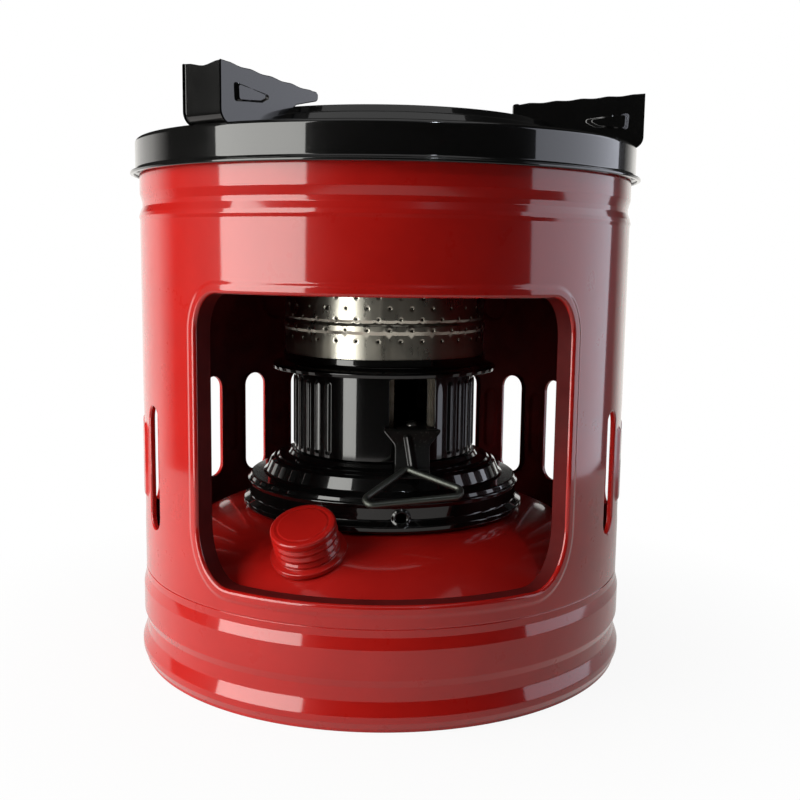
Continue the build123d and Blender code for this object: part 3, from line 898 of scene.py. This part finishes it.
def upright(azimuth, radius):
    a = math.radians(azimuth)
    return Matrix.Translation((math.sin(a) * radius, -math.cos(a) * radius, 0))


# ---- pot supports --------------------------------------------------------------------
SUPPORT_AZIMUTHS = (-37.0, 83.0, -157.0)
LEVER_X = 13.3


def make_support(number, azimuth):
    """A folded channel: two side walls with a pressed wedge, a web on the rivet and a closed end."""
    bend, half = 1.5, 11.0
    turn = Matrix.Rotation(math.radians(azimuth), 3, "Z")
    ex, er = turn @ X, turn @ Vector((0, -1, 0))
    sheet = Sheet(None, 1.0)
    high, inner, tip = (268.5, 64.6, 262.8) if number == 1 else (269.8, 61.4, 265.0)
    path = rounded_line([(120.6, high), (120.6, 246.5), (93.5, 246.5)], [4.0], 1, 0.5, 2.2)
    path = [(r, z, -nr, -nz, tr, tz) for r, z, nr, nz, tr, tz in path]

    def strip_place(side, angle, row):
        """A point on the bend between the strip and a side wall, which it reaches at 90 degrees."""
        r, z, nr, nz, tr, tz = row
        n = er * nr + UP * nz
        inward = (er * r + UP * z) - n * bend
        out = ex * side
        normal = n * math.cos(angle) + out * math.sin(angle)
        along = er * tr + UP * tz
        return inward + out * (half - bend) + normal * bend, normal, out, along

    across = [(-1, math.pi / 2 * k / 4) for k in (4, 3, 2, 1)]
    flat = [(x, None) for x in spread(-half + bend, half - bend, 9)]
    across = across + flat + [(1, math.pi / 2 * k / 4) for k in (1, 2, 3, 4)]
    rows = []
    for index, row in enumerate(path):
        ids = []
        for side, angle in across:
            dip = 1.4 * smooth(1 - abs(side) / 9.0) if (angle is None and index == 0) else 0.0
            if angle is None:
                r, z, nr, nz, tr, tz = row
                n = er * nr + UP * nz
                sheet.place = lambda s, t: (er * r + UP * (z - dip) + ex * side, n, ex, er * tr + UP * tz)
            else:
                sheet.place = lambda s, t: strip_place(side, angle, row)
            ids.append(sheet.node(0, 0))
        rows.append(ids)
    sheet.panels(rows, False)

    def top(r):
        """Height of the saw-toothed upper edge, which falls from the closed end to the tip."""
        base = high - (high - tip) / 60.0 * (121.0 - r)
        phase = (121.0 - r - 4.0) / 12.0
        return base - 0.45 * abs(math.sin(math.pi * phase)) ** 1.6 * (1 if r > inner + 2 else 0)

    tops = [(r, top(r)) for r in spread(119.1, inner + 0.8, 59)]
    tops[0] = (119.1, high)
    lower = rounded_line([(93.5, 248.0), (93.5, 246.8), (78.0, 257.2), (inner, 260.3), (inner, tip - 0.2),
                          (inner + 1.0, tip + 0.1)],
                         [0.2, 3.0, 1.4, 1.4], 1, 0.8, 2.0)
    flats = [(row[0], row[1]) for row in lower[1:-1]]
    on_top = len(flats) + 5
    flats += tops[:0:-1]
    rolled = [(r - nr * bend, z - nz * bend) for r, z, nr, nz, tr, tz in path]
    wedge = rounded_line([(107.0, 260.2), (93.4, 258.1), (99.4, 255.2), (114.6, 254.0), (115.0, 261.3),
                          (107.0, 260.2)], [1.0, 1.6, 1.2, 1.2], 1, 0.5, 2.0)
    wedge = [(row[0], row[1], (row[0] - 106.5) / 5.0, (row[1] - 257.6) / 5.0) for row in wedge[:-1]]
    press = rings_of(swell(0.8, 0.3, 1.5), [0.4, 0.0, -0.3, -0.6, -0.9, -1.2, -1.6])
    free = {}
    for side, column in ((-1, 0), (1, -1)):
        sheet.place = lambda s, t: (er * s + UP * t + ex * (half * side), ex * side, er, UP)
        ids = [row[column] for row in rows] + [None] * len(flats)
        ring = sheet.feature(wedge, press)
        outer, _ = sheet.fill(spread(63, 119, 24), spread(248, 269, 9), [ring], False, rolled + flats, ids)
        free[side] = outer[len(path):]

    ways = []
    for i in range(len(flats)):
        run = (Vector(flats[min(i + 1, len(flats) - 1)]) - Vector(flats[max(i - 1, 0)])).normalized()
        ways.append(er * -run.y + UP * run.x)
    if ways[on_top].dot(UP) < 0:
        ways = [-w for w in ways]
    loop = free[1] + rows[0][::-1] + free[-1][::-1] + rows[-1]
    directions = ways + [UP] * len(rows[0]) + ways[::-1] + [-er] * len(rows[-1])
    sheet.edge(loop, directions, lip(1.0))
    sheet.build("pot_support_%d_folded" % number, "support_%d" % number, "black_enamel", (BLACK,),
                ["pot_support_%d" % number])


def make_rivets():
    head = rounded_line([(0, 249.5), (2.2, 249.4), (4.9, 248.2), (4.9, 247.75), (2.5, 247.7), (2.5, 244.8),
                         (4.6, 244.7), (4.6, 243.6), (3.0, 243.2), (0, 243.2)],
                        [1.5, 0.8, 0.2, 0.1, 0.1, 0.2, 0.4, 0.4], 1, 0.4)
    solid(head, 32, [upright(a, 104.0) for a in SUPPORT_AZIMUTHS],
          "support_rivet_heads", "cover", "plated_steel", (STEEL,), ["support_rivets"])
    head = rounded_line([(0, 115.95), (1.2, 115.8), (2.6, 115.1), (2.6, 114.75), (1.5, 114.7), (1.5, 112.5),
                         (2.6, 112.4), (2.6, 111.6), (0, 111.4)], [0.9, 0.5, 0.1, 0.1, 0.1, 0.1, 0.4], 1, 0.3)
    solid(head, 24, [Matrix.Translation((LEVER_X, -y, 0)) for y in (28.0, 35.5)],
          "lever_rivet_heads", "wick_lift", "plated_steel", (STEEL,), ["lever_rivets"])


# ---- wick lever, handle and wicks ----------------------------------------------------
def make_lever():
    line = rounded_line([(-25.0, 114.8), (-48.8, 114.8), (-57.6, 98.2), (-62.6, 95.3)],
                        [1.8, 4.5], -1, 0.4, 1.2)
    line = [(y, z, -ny if nz < 0 else ny, -nz if nz < 0 else nz, ty, tz) for y, z, ny, nz, ty, tz in line]
    lengths = lengths_of(line)

    def place(s, t):
        y, z, ny, nz, ty, tz = row_at(line, lengths, t)
        return Vector((LEVER_X + s, y, z)), Vector((0, ny, nz)).normalized(), X, Vector((0, ty, tz))

    end = lengths[-1]
    half = rounded_line([(6.5, 0.2), (6.5, 20.4), (12.5, 22.2), (12.5, 24.6), (7.4, 31.0), (7.4, end - 0.1)],
                        [0.5, 1.2, 1.2, 5.0], 1, 0.5, 1.3)
    right = [(row[0], row[1]) for row in half]
    cross = [(x, end - 0.1) for x in spread(6.2, -6.2, 10)]
    left = [(-x, t) for x, t in reversed(right)]
    back = [(x, 0.2) for x in spread(-5.2, 5.2, 9)]
    border = right + cross + left + back
    sheet = Sheet(place, 1.2)
    rib = []
    for x, t, *_ in rounded_box(0, 0, 2.3, 10.4, 2.3, 1.3, 6):
        rib.append((x - 0.6 + t * 0.15, 36.2 + t))
    ring = sheet.feature(outline_normals(rib), rings_of(
        ridge(1.25, 2.3, 1.4), [0.05, -0.4, -0.8, -1.2, -1.6, -2.0]))
    outer, _ = sheet.fill(spread(-12, 12, 21), spread(0.8, end - 0.8, 40), [ring], False, border)
    ways = []
    for i in range(len(border)):
        run = (Vector(border[(i + 1) % len(border)]) - Vector(border[i - 1])).normalized()
        ways.append((run.y, -run.x))
    if ways[2][0] < 0:
        ways = [(-a, -b) for a, b in ways]
    sheet.edge(outer, ways, lip(1.2))
    sheet.build("wick_lever_plate", "wick_lift", "black_enamel", (BLACK_FLAT,), ["wick_lever"])


def tube_along(points, radius, sides=14):
    """A closed round tube through a loop of points."""
    skin = Skin()
    count = len(points)
    middle = sum(points, Vector((0, 0, 0))) / count
    plane = (points[0] - middle).cross(points[count // 4] - middle).normalized()
    rows = []
    for i, p in enumerate(points):
        run = (points[(i + 1) % count] - points[i - 1]).normalized()
        out = run.cross(plane).normalized()
        row = []
        for k in range(sides):
            a = 2 * math.pi * k / sides
            n = out * math.cos(a) + plane * math.sin(a)
            row.append(skin.add(p + n * radius, n))
        rows.append(row)
    for i in range(count):
        skin.band(rows[i - 1], rows[i])
    return skin


def make_handle():
    droop = math.radians(30.0)
    out = Vector((0, -math.cos(droop), -math.sin(droop)))
    flat = rounded_line([(0.3, -0.35), (27.5, -21.4), (-27.5, -21.4), (-0.3, -0.35)], [3.3, 3.3], 1, 0.5, 1.5)
    flat = [(row[0], row[1]) for row in flat]
    nose = rounded_line([(-2.5, -1.95), (0, 0), (2.5, -1.95)], [3.3], 1, 0.4)
    a = math.radians(9.2)
    points = []
    for x, y in [(r[0], r[1]) for r in nose] + [p for p in flat if p[1] < -2.2]:
        x, y = x * math.cos(a) - y * math.sin(a), x * math.sin(a) + y * math.cos(a)
        points.append(Vector((10.6, -60.0, 98.5)) + X * x - out * y)
    tube_along(points, 1.6, 16).build("lever_wire_loop", "wick_lift", "wire_steel", (WIRE,), ["lever_handle"])


def make_wicks():
    """Ten braided cotton rods with rounded, slightly frayed ends."""
    skin = Skin()
    radius, low, high = 2.93, 12.0, 141.5
    circle = round_z(20)
    for n in range(10):
        base = upright(3.0 + 36.0 * n, 37.5)
        rows = []
        for z in spread(low, high, 110):
            row = []
            for a, out in circle:
                weave = math.sin(4 * a + z * 1.5) * math.sin(4 * a - z * 1.5)
                row.append(skin.add(base @ (out * (radius + 0.14 * weave) + UP * z), out))
            rows.append(row)
        skin.bands(rows)
        for last, z, way, share in ((rows[0], low, -1, 0.3), (rows[-1], high, 1, 1)):
            for k, (f, rise) in enumerate(((0.86, 0.7), (0.6, 1.15), (0.3, 1.3))):
                row = []
                for a, out in circle:
                    fray = 0.12 * math.sin(7 * a + n + 3 * k)
                    point = out * radius * f + UP * (z + way * (rise + fray) * share)
                    row.append(skin.add(base @ point, (out * (1 - f) + UP * way).normalized()))
                skin.band(last, row)
                last = row
            skin.face(last)
    skin.build("wicks_braided", "wick_lift", "cotton_wick", (COTTON,), ["wicks"])


# ---- the CAD nodes that stay ---------------------------------------------------------
def paint(material, *names):
    for name in names:
        slots = NODES[name].material_slots
        if not slots:
            NODES[name].data.materials.append(material)
        for slot in slots:
            slot.material = material


make_base_shell()
make_casing()
make_tank_top()
make_filler_cap()
make_burner_base()
make_burner_body()
make_sleeve_seat()
make_sleeves()
make_spreader()
make_cover()
for index, azimuth in enumerate(SUPPORT_AZIMUTHS, 1):
    make_support(index, azimuth)
make_rivets()
make_lever()
make_handle()
make_wicks()
# The tank's bottom and brackets sit inside the casing and take the dark inside red: painted shade.
paint(RED_INSIDE_PAINTED_SHADE, "tank_bottom", "tank_brackets")
paint(BLACK, "burner_head")
paint(STEEL, "filler_neck", "rod_nuts", "cross_pins", "support_washers")
# The wick tubes, rods and carrier inside the burner take the darkened steel: painted shade.
paint(STEEL_PAINTED_SHADE, "wick_tubes_lower", "wick_tubes_upper", "guide_rods", "wick_carrier")
paint(RUBBER, "cap_seal")

# ---- floor, light and camera ---------------------------------------------------------
def floor():
    """A white disc: it fades to the page for the camera, and in reflections it glows a little with painted
    light, brighter on its left.
    """
    made = Shader("floor_white", (0.82, 0.815, 0.80), 0.6)
    away = made.combine("ShaderNodeVectorMath", "LENGTH", made.place)
    fade = made.span(away, 0.11, 0.27, 0.92, 1.0)
    path = made.node("ShaderNodeLightPath")
    lit = made.node("ShaderNodeEmission", Color=(1.0, 1.0, 1.0, 1.0))
    parts = made.node("ShaderNodeSeparateXYZ", Vector=made.place)
    # Painted light: a glow seen only in reflections, brighter towards -X, the side of the left lamps.
    glow = made.node("ShaderNodeEmission", Color=(1.0, 0.96, 0.93, 1.0),
                     Strength=made.span(parts.outputs["X"], -0.3, 0.3, 0.95, 0.50))
    shine = made.mix_shader(made.math("MULTIPLY", path.outputs["Is Glossy Ray"], 0.85), made.bsdf, glow)
    mix = made.mix_shader(made.math("MULTIPLY", fade, path.outputs["Is Camera Ray"]), shine, lit)
    made.link(made.tree.nodes["Material Output"].inputs["Surface"], mix.outputs[0])
    skin = Skin()
    rows = [[skin.add(out * r, UP) for _, out in round_z(64)] for r in (1.0, 150.0, 300.0, 560.0)]
    skin.bands(rows)
    skin.face(rows[0])
    mesh = bpy.data.meshes.new("floor")
    mesh.from_pydata([tuple(p * MM) for p in skin.co], [], skin.faces)
    mesh.materials.append(made.material)
    piece = bpy.data.objects.new("floor", mesh)
    bpy.context.scene.collection.objects.link(piece)


def lamp(name, azimuth, elevation, distance, width, height, power, colour=(1, 1, 1), aim=(0, 0, 0.13),
         shine=True, fill=True):
    data = bpy.data.lights.new(name, "AREA")
    data.shape = "RECTANGLE"
    data.size, data.size_y = width, height
    data.energy = power
    data.color = colour
    lamp_object = bpy.data.objects.new(name, data)
    a, e = math.radians(azimuth), math.radians(elevation)
    aim = Vector(aim)
    way = Vector((math.sin(a) * math.cos(e), -math.cos(a) * math.cos(e), math.sin(e)))
    lamp_object.location = aim + way * distance
    lamp_object.visible_glossy, lamp_object.visible_diffuse = shine, fill
    lamp_object.rotation_mode = "QUATERNION"
    lamp_object.rotation_quaternion = (-way).to_track_quat("-Z", "Y")
    bpy.context.scene.collection.objects.link(lamp_object)


def world():
    """A dim room with one broad bright panel behind, seen only in reflections and as soft light."""
    made = bpy.data.worlds.new("studio")
    made.use_nodes = True
    made.node_tree.nodes.clear()
    nodes = Nodes(made.node_tree)
    way = nodes.node("ShaderNodeTexCoord").outputs["Generated"]
    steps = [nodes.span(nodes.combine("ShaderNodeVectorMath", "DOT_PRODUCT", way, axis), low, high, 0.0, 1.0)
             for axis, low, high in (((-0.2, 1, 0), 0.52, 0.74), ((0, 0, 1), 0.18, 0.11))]
    strength = nodes.span(nodes.math("MULTIPLY", *steps), 0.0, 1.0, 0.025, 1.0)
    fill = nodes.node("ShaderNodeBackground", Color=(1.0, 0.98, 0.94, 1), Strength=strength)
    seen = nodes.node("ShaderNodeBackground", Color=(1, 1, 1, 1), Strength=1.0)
    path = nodes.node("ShaderNodeLightPath")
    mix = nodes.mix_shader(path.outputs["Is Camera Ray"], fill, seen)
    nodes.link(nodes.node("ShaderNodeOutputWorld").inputs[0], mix.outputs[0])
    bpy.context.scene.world = made


def camera():
    data = bpy.data.cameras.new("camera")
    data.lens = 47.525
    data.sensor_width = 36.0
    data.sensor_fit = "HORIZONTAL"
    pitch, yaw, roll = (math.radians(v) for v in (7.8143, 0.8908, 0.7852))
    forward = Vector((math.sin(yaw) * math.cos(pitch), math.cos(yaw) * math.cos(pitch), -math.sin(pitch)))
    right = Vector((math.cos(yaw), -math.sin(yaw), 0))
    up = right.cross(forward)
    x = right * math.cos(roll) + up * math.sin(roll)
    y = up * math.cos(roll) - right * math.sin(roll)
    turn = Matrix((x, y, -forward)).transposed()
    made = bpy.data.objects.new("camera", data)
    made.matrix_world = Matrix.Translation((0, -0.52935, 0.19436)) @ turn.to_4x4()
    data.clip_start, data.clip_end = 0.01, 50.0
    bpy.context.scene.collection.objects.link(made)
    bpy.context.scene.camera = made


floor()
lamp("left_softbox", -53.5, 12, 1.2, 0.90, 1.1, 21.5, (1.0, 1.0, 0.96), fill=False)
lamp("left_fill", -76, 14, 1.2, 1.3, 1.1, 27, (1.0, 0.98, 0.93), shine=False)
lamp("right_softbox", 92, 12, 1.2, 1.28, 1.1, 9.5, (0.86, 0.89, 1.0), fill=False)
lamp("right_fill", 92, 12, 1.2, 1.28, 1.1, 2.4, (0.95, 0.96, 1.0), shine=False)
lamp("top_softbox", 0, 80, 1.3, 1.2, 1.2, 3.0)
lamp("small_lamp", 23, 46, 1.5, 0.06, 0.06, 1.6, (0.85, 0.92, 1.0))
world()
camera()
scene = bpy.context.scene
scene.view_settings.view_transform = "Standard"
scene.view_settings.look = "None"
